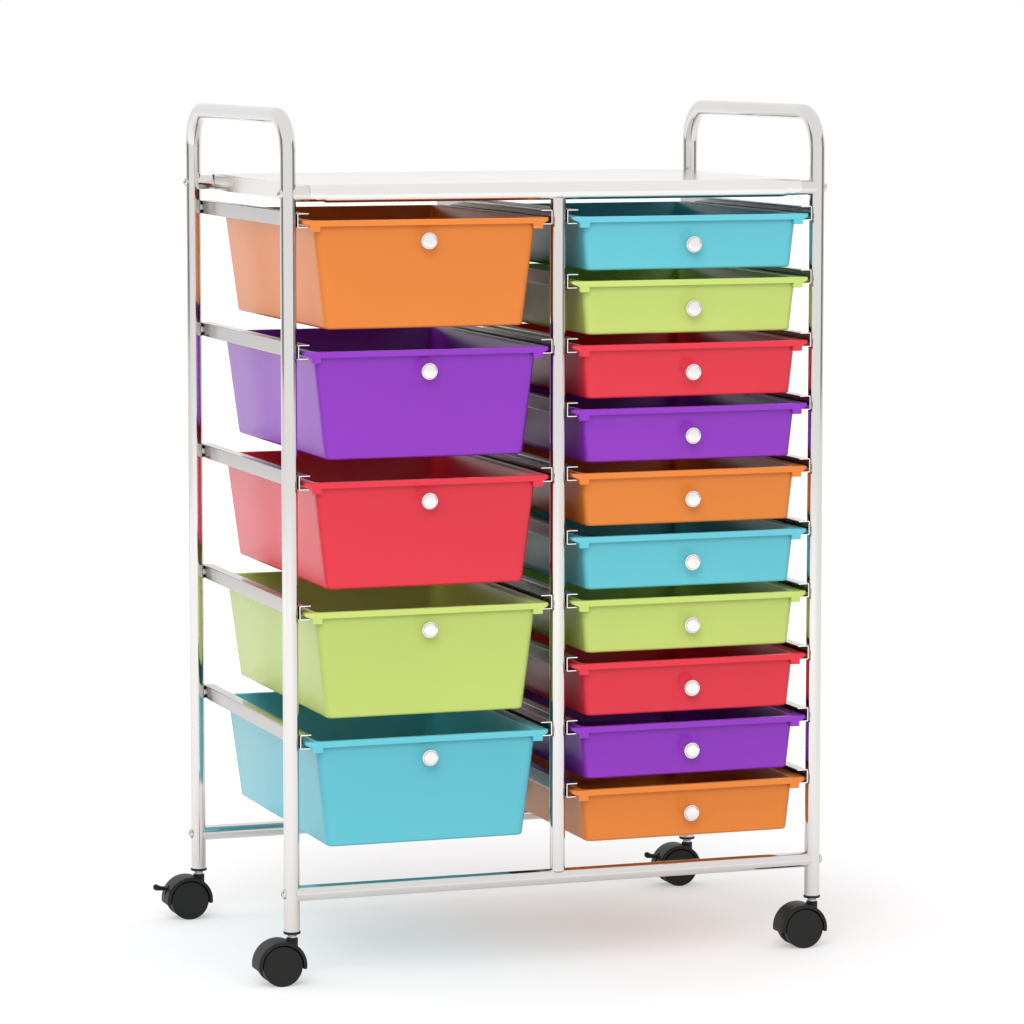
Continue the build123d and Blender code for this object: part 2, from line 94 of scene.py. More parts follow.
SMALL_PITCH = (middle("small_drawer_1", 2) - middle(f"small_drawer_{SMALL_COUNT}", 2)) / (SMALL_COUNT - 1)
LARGE_PITCH = (middle("large_drawer_1", 2) - middle(f"large_drawer_{LARGE_COUNT}", 2)) / (LARGE_COUNT - 1)
RAIL_HEIGHT = extent("rails_right_outer", 2) - SMALL_PITCH * (SMALL_COUNT - 1)
TOP_RAIL_Z = low_high("rails_right_outer", 2)[1] - RAIL_HEIGHT / 2
RIM_HALF = extent("large_drawer_1", 0) / 2
RIM_LENGTH = extent("large_drawer_1", 1)
LIP_FROM_POST = low_high("large_drawer_1", 1)[0] + POST_Y
BANK_X = {size: middle(f"{size}_drawer_1", 0) for size in ("large", "small")}
RIM_OVER_RAIL = {size: low_high(f"{size}_drawer_1", 2)[1] - TOP_RAIL_Z for size in BANK_X}
SOCKET_LOW_Z = low_high("caster_sockets", 2)[0]
WHEEL_RADIUS = extent("caster_wheels_front_left", 2) / 2
CORNERS = ("front_left", "front_right", "back_left", "back_right")
SLOT_OF = {part["node"]: part["material_slot"] for part in frame["record"]["subparts"]}


class CartSizes(bpy.types.PropertyGroup):
    """Sizes of the cart that the frame's boxes don't give."""

    handle_bend: FloatProperty(
        name="Handle bend", description="Bend radius of the handles, to the tube's axis",
        default=42 * MM, min=20 * MM, max=80 * MM, unit="LENGTH", precision=4,
    )
    sheet: FloatProperty(
        name="Sheet", description="Thickness of the rails' and the shelf's sheet metal",
        default=1 * MM, min=0.4 * MM, max=2 * MM, unit="LENGTH", precision=4,
    )
    rail_bend: FloatProperty(
        name="Rail bend", description="Outer bend radius of the rails",
        default=1.3 * MM, min=0.2 * MM, max=3 * MM, unit="LENGTH", precision=4,
    )
    saddle: FloatProperty(
        name="Saddle", description="How far a cross tube's notched end reaches round a post",
        default=5 * MM, min=0, max=8 * MM, unit="LENGTH", precision=4,
    )
    rim_side: FloatProperty(
        name="Rim, sides", description="Width of a drawer's rim at its sides",
        default=12.5 * MM, min=4 * MM, max=20 * MM, unit="LENGTH", precision=4,
    )
    rim_front: FloatProperty(
        name="Rim, front", description="Width of a drawer's rim at its front and back",
        default=5 * MM, min=3 * MM, max=15 * MM, unit="LENGTH", precision=4,
    )
    rim_height: FloatProperty(
        name="Rim height", description="Height of a drawer's turned-down rim",
        default=6.4 * MM, min=3 * MM, max=12 * MM, unit="LENGTH", precision=4,
    )
    wall: FloatProperty(
        name="Wall", description="Thickness of a drawer's walls",
        default=2.2 * MM, min=1 * MM, max=4 * MM, unit="LENGTH", precision=4,
    )
    tube_steps: IntProperty(
        name="Tube steps", description="Facets round a tube", default=64, min=16, max=128,
    )


class CartFinish(bpy.types.PropertyGroup):
    """Colours of the cart's plastics and metals."""

    orange: FloatVectorProperty(
        name="Orange", description="Orange drawers", subtype="COLOR", size=3, min=0, max=1,
        default=(0.84, 0.24, 0.035),
    )
    purple: FloatVectorProperty(
        name="Purple", description="Purple drawers", subtype="COLOR", size=3, min=0, max=1,
        default=(0.29, 0.035, 0.56),
    )
    red: FloatVectorProperty(
        name="Red", description="Red drawers", subtype="COLOR", size=3, min=0, max=1,
        default=(0.82, 0.035, 0.062),
    )
    green: FloatVectorProperty(
        name="Green", description="Green drawers", subtype="COLOR", size=3, min=0, max=1,
        default=(0.58, 0.72, 0.175),
    )
    cyan: FloatVectorProperty(
        name="Cyan", description="Cyan drawers", subtype="COLOR", size=3, min=0, max=1,
        default=(0.135, 0.59, 0.70),
    )
    chrome: FloatVectorProperty(
        name="Chrome", description="Plated tubes", subtype="COLOR", size=3, min=0, max=1,
        default=(0.72, 0.697, 0.678),
    )
    rail: FloatVectorProperty(
        name="Rail", description="Plated rails", subtype="COLOR", size=3, min=0, max=1,
        default=(0.46, 0.443, 0.43),
    )
    shelf: FloatVectorProperty(
        name="Shelf", description="Plated shelf sheet", subtype="COLOR", size=3, min=0, max=1,
        default=(0.84, 0.815, 0.80),
    )
    nylon: FloatVectorProperty(
        name="Nylon", description="Casters and sockets", subtype="COLOR", size=3, min=0, max=1,
        default=(0.010, 0.0098, 0.0092),
    )


class CartStage(bpy.types.PropertyGroup):
    """Camera and light of the picture."""

    lens: FloatProperty(
        name="Lens", description="Focal length in millimetres, on a 36 mm sensor",
        default=154.71, min=20, max=400, unit="CAMERA",
    )
    camera: FloatVectorProperty(
        name="Camera", description="Where the camera stands", subtype="TRANSLATION", unit="LENGTH",
        size=3, default=(-1.6120, -4.6518, 1.0203),
    )
    yaw: FloatProperty(
        name="Yaw", description="Turn of the camera from the cart's front", subtype="ANGLE",
        default=radians(19.266),
    )
    pitch: FloatProperty(
        name="Pitch", description="Downward tilt of the camera", subtype="ANGLE", default=radians(6.275),
    )
    ambient: FloatProperty(
        name="Ambient", description="Strength of the surrounding light", default=0.94, min=0, max=1,
    )
    key_power: FloatProperty(
        name="Key lamp", description="Power of the lamp in front", default=95, min=0, unit="POWER",
    )
    side_power: FloatProperty(
        name="Side lamp", description="Power of the lamp on the left", default=36, min=0, unit="POWER",
    )


class Wire:
    """A shader socket. Arithmetic on it adds Math nodes."""

    def __init__(self, owner, socket):
        self.owner = owner
        self.socket = socket

    def _math(self, operation, first, second):
        return self.owner.node("ShaderNodeMath", {"operation": operation}, {0: first, 1: second})[0]

    def __add__(self, other):
        return self._math("ADD", self, other)

    def __radd__(self, other):
        return self._math("ADD", other, self)

    def __mul__(self, other):
        return self._math("MULTIPLY", self, other)

    def __rmul__(self, other):
        return self._math("MULTIPLY", other, self)


class NodeTree:
    """A shader node tree that is filled through one method."""

    def __init__(self, tree):
        self.tree = tree
        tree.nodes.clear()

    def node(self, kind, settings=None, sockets=None):
        """Add a node, set its settings, then its sockets, and return its outputs."""
        node = self.tree.nodes.new(kind)
        for key, value in (settings or {}).items():
            setattr(node, key, value)
        for key, value in (sockets or {}).items():
            if isinstance(value, Wire):
                self.tree.links.new(value.socket, node.inputs[key])
            else:
                node.inputs[key].default_value = value
        return [Wire(self, socket) for socket in node.outputs]

    def place(self):
        """Object coordinates."""
        return self.node("ShaderNodeTexCoord")[3]

    def noise(self, scale, detail=3.0, stretch=(1, 1, 1)):
        """Noise on object coordinates, from 0 to 1."""
        place = self.node("ShaderNodeMapping", None, {"Vector": self.place(), "Scale": stretch})[0]
        sockets = {"Vector": place, "Scale": scale, "Detail": detail}
        return self.node("ShaderNodeTexNoise", None, sockets)[0]

    def mix(self, factor, first, second):
        """A colour between two colours."""
        # Inputs 6 and 7 and output 2 are the colours of a Mix node, which also has numbers and vectors
        sockets = {0: factor, 6: (*first, 1), 7: (*second, 1)}
        return self.node("ShaderNodeMix", {"data_type": "RGBA"}, sockets)[2]

    def bump(self, height, strength, distance):
        """A normal from a height."""
        sockets = {"Height": height, "Strength": strength, "Distance": distance}
        return self.node("ShaderNodeBump", None, sockets)[0]

    def surface(self, sockets):
        """End the tree in a Principled shader."""
        shader = self.node("ShaderNodeBsdfPrincipled", None, sockets)[0]
        self.node("ShaderNodeOutputMaterial", None, {"Surface": shader})


def new_material(name):
    """An empty material and its node tree."""
    material = bpy.data.materials.new(name)
    material.use_nodes = True
    return material, NodeTree(material.node_tree)


def scaled(colour, factor):
    """A colour made lighter or darker, within range."""
    return tuple(min(1.0, channel * factor) for channel in colour)


def plated_metal(name, colour, smooth, dull, wave):
    """Plated metal with faint smudges, and with a slight waviness of the sheet or tube under it."""
    material, tree = new_material(name)
    smudge = tree.noise(7.0, detail=5.0)
    streak = tree.noise(30.0, stretch=(1, 1, 0.15))
    roughness = smooth + (dull - smooth) * smudge * (0.6 + 0.4 * streak)
    tree.surface({
        "Base Color": tree.mix(smudge, scaled(colour, 1.03), scaled(colour, 0.95)),
        "Metallic": 1.0,
        "Roughness": roughness,
        "Normal": tree.bump(tree.noise(24.0, detail=1.0), strength=wave, distance=0.6 * MM),
    })
    return material


def rail_metal(name, colour, painted_end_colour):
    """Dull plated sheet with a painted highlight on its cut ends."""
    material, tree = new_material(name)
    highlight_zone = 0.3 * MM
    smudge = tree.noise(7.0, detail=5.0)
    along = tree.node("ShaderNodeSeparateXYZ", None, {"Vector": tree.place()})[1]
    off_middle = tree.node("ShaderNodeMath", {"operation": "ABSOLUTE"}, {0: along})[0]
    # The cut ends get a colour lighter than the chrome: a painted highlight.
    end_highlight = tree.node("ShaderNodeMath", {"operation": "GREATER_THAN"}, {
        0: off_middle, 1: RAIL_HALF_LENGTH - highlight_zone,
    })[0]
    tree.surface({
        "Base Color": tree.mix(0.15 * smudge + end_highlight, colour, scaled(painted_end_colour, 1.3)),
        "Metallic": 1.0,
        "Roughness": 0.10 + 0.12 * smudge,
        "Normal": tree.bump(tree.noise(24.0, detail=1.0), strength=0.05, distance=0.6 * MM),
    })
    return material


def moulded_plastic(name, colour):
    """Glossy moulded plastic with slow colour drift and a very fine moulded grain."""
    material, tree = new_material(name)
    drift = tree.noise(6.0, detail=4.0)
    grain = tree.noise(900.0, detail=2.0)
    scuff = tree.noise(45.0, detail=6.0)
    tree.surface({
        "Base Color": tree.mix(drift, scaled(colour, 0.95), scaled(colour, 1.05)),
        "Roughness": 0.17 + 0.08 * scuff + 0.04 * grain,
        "IOR": 1.4,
        "Normal": tree.bump(grain, strength=0.05, distance=0.1 * MM),
    })
    return material


def black_nylon(name, colour):
    """Satin black nylon with the fine grain of an etched mould."""
    material, tree = new_material(name)
    grain = tree.noise(1400.0, detail=2.0)
    drift = tree.noise(40.0)
    tree.surface({
        "Base Color": tree.mix(drift, scaled(colour, 0.85), scaled(colour, 1.25)),
        "Roughness": 0.40 + 0.14 * grain + 0.06 * drift,
        "IOR": 1.38,
        "Normal": tree.bump(grain, strength=0.12, distance=0.1 * MM),
    })
    return material


def turned_steel(name, colour):
    """Bare steel with the fine rings that a lathe leaves."""
    material, tree = new_material(name)
    rings = tree.noise(30.0, detail=2.0, stretch=(1, 1, 60))
    tree.surface({
        "Base Color": tree.mix(rings, scaled(colour, 0.88), scaled(colour, 1.05)),
        "Metallic": 1.0,
        "Roughness": 0.16 + 0.16 * rings,
        "Normal": tree.bump(rings, strength=0.10, distance=0.1 * MM),
    })
    return material


FINISHES = {}


def finish_for(slot):
    """The material of one of the record's material slots, made once."""
    if slot in FINISHES:
        return FINISHES[slot]
    finish = bpy.context.scene.cart_finish
    if slot.endswith("_plastic"):
        material = moulded_plastic(slot, getattr(finish, slot.removesuffix("_plastic")))
    elif slot == "black_nylon":
        material = black_nylon(slot, finish.nylon)
    elif slot == "stem_steel":
        material = turned_steel(slot, scaled(finish.chrome, 0.9))
    elif slot == "rail_chrome":
        # The chrome colour is the base of the painted highlight on the rails' cut ends.
        material = rail_metal(slot, finish.rail, finish.chrome)
    elif slot == "shelf_sheet":
        material = plated_metal(slot, finish.shelf, smooth=0.12, dull=0.26, wave=0.06)
    elif slot == "knob_chrome":
        # Painted light: the knobs get a lighter copy of the tubes' chrome, so that they look more brightly
        # lit.
        painted_lit_chrome = scaled(finish.chrome, 1.18)
        material = plated_metal(slot, painted_lit_chrome, smooth=0.06, dull=0.14, wave=0.02)
    elif slot == "bolt_steel":
        zinc = scaled(finish.chrome, 0.95)
        material = plated_metal(slot, zinc, smooth=0.12, dull=0.24, wave=0.02)
    else:
        material = plated_metal(slot, finish.chrome, smooth=0.05, dull=0.12, wave=0.02)
    FINISHES[slot] = material
    return material


def arc(centre, radius, start, end, steps):
    """Points of an arc in a plane, angles in degrees."""
    angles = [radians(start + (end - start) * i / steps) for i in range(steps + 1)]
    return [(centre[0] + radius * cos(a), centre[1] + radius * sin(a)) for a in angles]


def strip(rings):
    """Faces between closed rings of equal length; each ring is a list of vertex numbers."""
    faces = []
    for first, second in zip(rings, rings[1:]):
        for i in range(len(first)):
            j = (i + 1) % len(first)
            faces.append((first[i], first[j], second[j], second[i]))
    return faces


class Shape:
    """Vertices and faces that are gathered before they become a mesh."""

    def __init__(self):
        self.points = []
        self.faces = []

    def ring(self, points):
        """Add points and return their numbers."""
        start = len(self.points)
        self.points.extend(Vector(point) for point in points)
        return list(range(start, len(self.points)))

    def loft(self, rings):
        """Join rings of points by quads, close both ends, and return the rings' vertex numbers."""
        numbers = [self.ring(ring) for ring in rings]
        self.faces.extend(strip(numbers))
        self.faces.append(tuple(reversed(numbers[0])))
        self.faces.append(tuple(numbers[-1]))
        return numbers

    def pierce(self, near, far, front, back):
        """Open a hole through a wall between two rings of a loft. The hole's sides on the wall's front and
        back run from the given places in the rings to the next ones."""
        rims = [(near[k], near[k + 1], far[k + 1], far[k]) for k in (front, back)]
        self.faces = [face for face in self.faces if face not in rims]
        start, end, other_end, other_start = rims[1]
        self.faces.extend(strip([rims[0], (end, start, other_start, other_end)]))

    def lathe(self, profile, steps, place):
        """Turn a profile of (radius, height) about its own axis; place maps x, y, height to a point.
        A radius of zero closes the end in a pole."""
        previous = None
        for radius, height in profile:
            if radius < POLE_RADIUS:
                ring = self.ring([place(0, 0, height)])
            else:
                angles = [2 * pi * i / steps for i in range(steps)]
                ring = self.ring([place(radius * cos(a), radius * sin(a), height) for a in angles])
            if previous:
                self._join(previous, ring, steps)
            previous = ring

    def _join(self, first, second, steps):
        for i in range(steps):
            j = (i + 1) % steps
            if len(first) == 1:
                self.faces.append((first[0], second[j], second[i]))
            elif len(second) == 1:
                self.faces.append((first[i], first[j], second[0]))
            else:
                self.faces.append((first[i], first[j], second[j], second[i]))

    def extrude(self, outline, place, start, end):
        """A prism over a plane outline; place maps two outline numbers and a height to a point."""
        self.loft([[place(u, v, height) for u, v in outline] for height in (start, end)])

    def mesh(self, name, smooth_angle):
        """Make a mesh with outward faces, smooth except over edges sharper than the angle."""
        mesh = bpy.data.meshes.new(name)
        mesh.from_pydata(self.points, [], self.faces)
        work = bmesh.new()
        work.from_mesh(mesh)
        bmesh.ops.remove_doubles(work, verts=work.verts, dist=1e-7)
        bmesh.ops.recalc_face_normals(work, faces=work.faces)
        work.to_mesh(mesh)
        work.free()
        mesh.shade_smooth()
        mesh.set_sharp_from_angle(angle=radians(smooth_angle))
        return mesh


def new_object(name, data):
    """An object in the scene with the given mesh, lamp or camera."""
    item = bpy.data.objects.new(name, data)
    bpy.context.scene.collection.objects.link(item)
    return item


def add_piece(name, mesh, body, slot, nodes):
    """Put a finished mesh in the scene, with its material and its body, and hide the nodes it stands for."""
    mesh.materials.clear()
    mesh.materials.append(finish_for(slot))
    piece = new_object(name, mesh)
    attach(piece, body)
    if nodes:
        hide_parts(*nodes)


def add_merged_copy(node, body, smooth_angle):
    """A copy of a node's mesh with its loose triangles joined, so that its round faces shade smoothly."""
    mesh = frame["nodes"][node].data.copy()
    work = bmesh.new()
    work.from_mesh(mesh)
    bmesh.ops.remove_doubles(work, verts=work.verts, dist=1e-6)
    work.to_mesh(mesh)
    work.free()
    mesh.name = f"{node}_smooth"
    if mesh.has_custom_normals:
        mesh.attributes.remove(mesh.attributes["custom_normal"])
    mesh.shade_smooth()
    mesh.set_sharp_from_angle(angle=radians(smooth_angle))
    add_piece(f"{node}_smooth", mesh, body, SLOT_OF[node], [node])


def repeat_tree(name, build):
    """A geometry node tree that instances its input on the places that a function makes in the tree, with
    realized instances and one material."""
    tree = bpy.data.node_groups.new(name, "GeometryNodeTree")
    face = tree.interface
    face.new_socket("Geometry", in_out="INPUT", socket_type="NodeSocketGeometry")
    face.new_socket("Material", in_out="INPUT", socket_type="NodeSocketMaterial")
    start, places = build(tree)
    face.new_socket("Geometry", in_out="OUTPUT", socket_type="NodeSocketGeometry")
    nodes, links = tree.nodes, tree.links
    instance = nodes.new("GeometryNodeInstanceOnPoints")
    realize = nodes.new("GeometryNodeRealizeInstances")
    material = nodes.new("GeometryNodeSetMaterial")
    end = nodes.new("NodeGroupOutput")
    links.new(places.outputs["Mesh"], instance.inputs["Points"])
    links.new(start.outputs["Geometry"], instance.inputs["Instance"])
    links.new(instance.outputs["Instances"], realize.inputs["Geometry"])
    links.new(realize.outputs["Geometry"], material.inputs["Geometry"])
    links.new(start.outputs["Material"], material.inputs["Material"])
    links.new(material.outputs["Geometry"], end.inputs["Geometry"])
    return tree


def build_stack(tree):
    """The tree's inputs, and places in a row, each a step from the last."""
    tree.interface.new_socket("Count", in_out="INPUT", socket_type="NodeSocketInt")
    tree.interface.new_socket("Step", in_out="INPUT", socket_type="NodeSocketVector")
    start = tree.nodes.new("NodeGroupInput")
    row = tree.nodes.new("GeometryNodeMeshLine")
    tree.links.new(start.outputs["Count"], row.inputs["Count"])
    tree.links.new(start.outputs["Step"], row.inputs["Offset"])
    return start, row


def build_corners(tree):
    """The tree's inputs, and places at the corners of a rectangle about the origin."""
    tree.interface.new_socket("Width", in_out="INPUT", socket_type="NodeSocketFloat")
    tree.interface.new_socket("Depth", in_out="INPUT", socket_type="NodeSocketFloat")
    start = tree.nodes.new("NodeGroupInput")
    grid = tree.nodes.new("GeometryNodeMeshGrid")
    grid.inputs["Vertices X"].default_value = 2
    grid.inputs["Vertices Y"].default_value = 2
    tree.links.new(start.outputs["Width"], grid.inputs["Size X"])
    tree.links.new(start.outputs["Depth"], grid.inputs["Size Y"])
    return start, grid


def repeated(name, mesh, tree, slot, values):
    """Run a mesh through a repeat tree and return the plain mesh that comes out."""
    source = new_object(f"{name}_source", mesh)
    modifier = source.modifiers.new("Repeat", "NODES")
    modifier.node_group = tree
    sockets = {item.name: item.identifier for item in tree.interface.items_tree if item.in_out == "INPUT"}
    modifier[sockets["Material"]] = finish_for(slot)
    for key, value in values.items():
        modifier[sockets[key]] = value
    depsgraph = bpy.context.evaluated_depsgraph_get()
    result = bpy.data.meshes.new_from_object(source.evaluated_get(depsgraph), depsgraph=depsgraph)
    source.modifiers.remove(modifier)
    bpy.data.objects.remove(source)
    result.name = name
    return result


TREES = {}


def tree_for(kind):
    """The stack or corners tree, made once."""
    if kind not in TREES:
        TREES[kind] = repeat_tree(f"cart_{kind}", build_stack if kind == "stack" else build_corners)
    return TREES[kind]


def circle(radius, steps):
    """Points of a circle in a plane."""
    return [(radius * cos(2 * pi * i / steps), radius * sin(2 * pi * i / steps)) for i in range(steps)]


class CART_OT_side_frames(bpy.types.Operator):
    """Make the two bent side frames"""

    bl_idname = "cart.side_frames"
    bl_label = "Side frames"

    def execute(self, context):
        sizes = context.scene.cart_sizes
        bend, bend_steps = sizes.handle_bend, 24
        axis_z = HANDLE_TOP_Z - TUBE_RADIUS
        turn = (-POST_Y + bend, axis_z - bend)
        # Places and slopes along the tube's axis, from the front foot over the handle to the back one
        path = [(-POST_Y, FOOT_Z, pi / 2)]
        for step in range(bend_steps + 1):
            angle = pi - step * pi / 2 / bend_steps
            path.append((turn[0] + bend * cos(angle), turn[1] + bend * sin(angle), angle - pi / 2))
        path += [(-y, z, -slope) for y, z, slope in reversed(path)]
        for side, name in ((-1, "left"), (1, "right")):
            shape = Shape()
            rings = []
            for y, z, slope in path:
                across = (-sin(slope), cos(slope))
                rings.append([
                    (side * POST_X + u, y + v * across[0], z + v * across[1])
                    for u, v in circle(TUBE_RADIUS, sizes.tube_steps)
                ])
            shape.loft(rings)
            mesh = shape.mesh(f"side_tube_{name}", smooth_angle=50)
            add_piece(f"side_tube_{name}", mesh, "frame", "chrome_tube", [f"side_frame_{name}"])
        return {"FINISHED"}


def saddle_reach(offset, seat_radius, deepest):
    """Distance from a round seat's axis to a notched tube's end, at an offset across the seat."""
    inside = max(seat_radius**2 - offset**2, 0)
    return max(sqrt(inside), deepest)


class CART_OT_cross_tubes(bpy.types.Operator):
    """Make the four cross tubes and the two middle posts, with ends notched to their seats"""

    bl_idname = "cart.cross_tubes"
    bl_label = "Cross tubes and middle posts"

    def execute(self, context):
        sizes = context.scene.cart_sizes
        section = circle(TUBE_RADIUS, sizes.tube_steps)
        deepest = TUBE_RADIUS - sizes.saddle
        places = {
            "top_tube_front": (-POST_Y, TOP_TUBE_Z),
            "top_tube_back": (POST_Y, TOP_TUBE_Z),
            "bottom_tube_front": (-POST_Y, BOTTOM_TUBE_Z),
            "bottom_tube_back": (POST_Y, BOTTOM_TUBE_Z),
        }
        for node, (y, z) in places.items():
            shape = Shape()
            rings = []
            for side in (-1, 1):
                rings.append([
                    (side * (POST_X - saddle_reach(u, TUBE_RADIUS, deepest)), y + u, z + v)
                    for u, v in section
                ])
            shape.loft(rings)
            mesh = shape.mesh(node, smooth_angle=50)
            add_piece(f"{node}_smooth", mesh, "frame", "chrome_tube", [node])
        for node, y in (("middle_post_front", -POST_Y), ("middle_post_back", POST_Y)):
            foot, top = low_high(node, 2)
            shape = Shape()
            lower = [
                (u, y + v, BOTTOM_TUBE_Z + saddle_reach(v, TUBE_RADIUS, foot - BOTTOM_TUBE_Z))
                for u, v in section
            ]
            upper = [
                (u, y + v, TOP_TUBE_Z - saddle_reach(v, WRAP_RADIUS, TOP_TUBE_Z - top)) for u, v in section
            ]
            shape.loft([lower, upper])
            mesh = shape.mesh(node, smooth_angle=50)
            add_piece(f"{node}_smooth", mesh, "frame", "chrome_tube", [node])
        return {"FINISHED"}


class CART_OT_shelf(bpy.types.Operator):
    """Make the folded top shelf"""

    bl_idname = "cart.shelf"
    bl_label = "Top shelf"

    def execute(self, context):
        sheet = context.scene.cart_sizes.sheet
        corner_length, corner_rise, corner_steps = 20 * MM, 6 * MM, 4
        bend, bend_steps, wrap_steps = 2 * MM, 6, 28
        inner_radius = WRAP_RADIUS - sheet

        def wrap_end(rise):
            """Angle round the front tube, in degrees, where the wrap stops when its edge is raised so far."""
            drop = WRAP_RADIUS - rise
            return 270 - degrees(atan2(sqrt(WRAP_RADIUS**2 - drop**2), drop))

        def section(x, rise):
            """The sheet's outline across the shelf, at one place along it."""
            end = wrap_end(rise)
            ring = []
            for radius, way in ((WRAP_RADIUS, 1), (inner_radius, -1)):
                front = arc((-POST_Y, TOP_TUBE_Z), radius, end, 90, wrap_steps)
                back = arc((POST_Y, TOP_TUBE_Z), radius, 90, 180 - end, wrap_steps)
                ring += (front + back)[::way]
            return [(x, y, z) for y, z in ring]

        shares = [i / corner_steps for i in range(corner_steps + 1)]
        stations = [(-SHELF_HALF + corner_length * share, corner_rise * (1 - share)) for share in shares]
        stations += [(-x, rise) for x, rise in reversed(stations)]
        shape = Shape()
        shape.loft([section(x, rise) for x, rise in stations])
        # End flanges, rounded over from the top of the sheet and each pierced by a narrow slit
        reach = POST_Y - WRAP_RADIUS
        slit_y, slit_width, slit_height = 97 * MM, 1.6 * MM, 5 * MM
        slit_middle = (SHELF_TOP_Z + SHELF_LOW_Z) / 2
        slit_low, slit_high = slit_middle - slit_height / 2, slit_middle + slit_height / 2
        places = (-reach, slit_y - slit_width / 2, slit_y + slit_width / 2, reach)
        low = SHELF_LOW_Z + sheet
        top_gap = 0.02 * MM  # keeps a flange's top face off the sheet's
        for side in (-1, 1):
            edge, back = side * SHELF_HALF, side * (SHELF_HALF - sheet)
            bend_centre = (edge - side * bend, SHELF_TOP_Z - bend)
            outer = arc(bend_centre, bend, 90, 90 - side * 90, bend_steps)
            inner = arc(bend_centre, bend - sheet, 90 - side * 90, 90, bend_steps)
            outline = outer + [(edge, slit_high), (edge, slit_low), (edge, low)]
            outline += [(back, low), (back, slit_low), (back, slit_high)] + inner
            rings = shape.loft([[(x, y, z - top_gap) for x, z in outline] for y in places])
            slit_front, slit_back = len(outer), len(outer) + 4  # where its sides start in the outline
            shape.pierce(rings[1], rings[2], slit_front, slit_back)
        mesh = shape.mesh("shelf_sheet", smooth_angle=35)
        add_piece("shelf_sheet", mesh, "frame", "shelf_sheet", ["top_shelf"])
        return {"FINISHED"}


def channel_outline(sheet, bend):
    """Outline of a rail's section: web at x = 0, flanges towards +x, middle at height 0."""
    half = RAIL_HEIGHT / 2
    tip = sheet * 0.35  # bevel along a flange's outer edge
    tightest_bend = 0.2 * MM
    outer = [(RAIL_FLANGE, half - tip), (RAIL_FLANGE - tip, half)]
    outer += arc((bend, half - bend), bend, 90, 180, 5)
    outer += arc((bend, bend - half), bend, 180, 270, 5)
    outer += [(RAIL_FLANGE - tip, -half), (RAIL_FLANGE, tip - half)]
    within = max(bend - sheet, tightest_bend)
    corner = sheet + within
    inner = [(RAIL_FLANGE, sheet - half)]
    inner += arc((corner, corner - half), within, 270, 180, 4)
    inner += arc((corner, half - corner), within, 180, 90, 4)
    inner += [(RAIL_FLANGE, half - sheet)]
    return outer + inner


# For each row of rails: the web's outer face, the way the flanges point, the count and the step down
RAIL_BANKS = {
    "rails_left_outer": (-POST_X + TUBE_RADIUS, 1, LARGE_COUNT, LARGE_PITCH),
    "rails_left_inner": (-TUBE_RADIUS, -1, LARGE_COUNT, LARGE_PITCH),
    "rails_right_inner": (TUBE_RADIUS, 1, SMALL_COUNT, SMALL_PITCH),
    "rails_right_outer": (POST_X - TUBE_RADIUS, -1, SMALL_COUNT, SMALL_PITCH),
}


class CART_OT_rails(bpy.types.Operator):
    """Make the channel rails, each row by a stack of one rail"""

    bl_idname = "cart.rails"
    bl_label = "Rails"

    def execute(self, context):
        sizes = context.scene.cart_sizes
        outline = channel_outline(sizes.sheet, sizes.rail_bend)
        for node, (web_x, opening, count, pitch) in RAIL_BANKS.items():
            shape = Shape()
            shape.extrude(
                outline, lambda u, v, y: (web_x + opening * u, y, TOP_RAIL_Z + v),
                -RAIL_HALF_LENGTH, RAIL_HALF_LENGTH,
            )
            mesh = repeated(
                f"{node}_bent", shape.mesh(node, smooth_angle=40), tree_for("stack"), "rail_chrome",
                {"Count": count, "Step": (0, 0, -pitch)},
            )
            add_piece(f"{node}_bent", mesh, "frame", "rail_chrome", [node])
        return {"FINISHED"}


class CART_OT_welds(bpy.types.Operator):
    """Make the short weld beads between the posts and the rails' webs"""

    bl_idname = "cart.welds"
    bl_label = "Welds"

    def execute(self, context):
        bead_radius, bead_half, bead_steps = 1.1 * MM, 3.4 * MM, 10
        from_post_axis = 4.4 * MM  # along the rail, towards the cart's middle
        behind_web = 0.7 * MM
        angles = [pi * i / bead_steps for i in range(bead_steps + 1)]
        profile = [(bead_radius * sin(a), TOP_RAIL_Z - bead_half * cos(a)) for a in angles]
        for node, (web_x, opening, count, pitch) in RAIL_BANKS.items():
            name = f"{node}_welds"
            axis_x = web_x - opening * behind_web
            shape = Shape()
            for axis_y in (-POST_Y + from_post_axis, POST_Y - from_post_axis):
                shape.lathe(profile, steps=12, place=lambda u, v, z: (axis_x + u, axis_y + v, z))
            mesh = repeated(
                name, shape.mesh(name, smooth_angle=60), tree_for("stack"), "chrome_tube",
                {"Count": count, "Step": (0, 0, -pitch)},
            )
            add_piece(name, mesh, "frame", "chrome_tube", [])
        return {"FINISHED"}


def screw_head(base, radius, edge, height, dome, recess_radius, recess_depth):
    """Radius and height of a domed screw head, from its underside to the floor of its round recess.
    The dome's first and last angles are in degrees."""
    floor = height - recess_depth
    profile = [(0, base), (radius, base), (radius, edge)]
    profile += [(radius * c, edge + (height - edge) * s) for c, s in arc((0, 0), 1, *dome, 8)]
    return profile + [(recess_radius, height), (recess_radius, floor), (0, floor)]


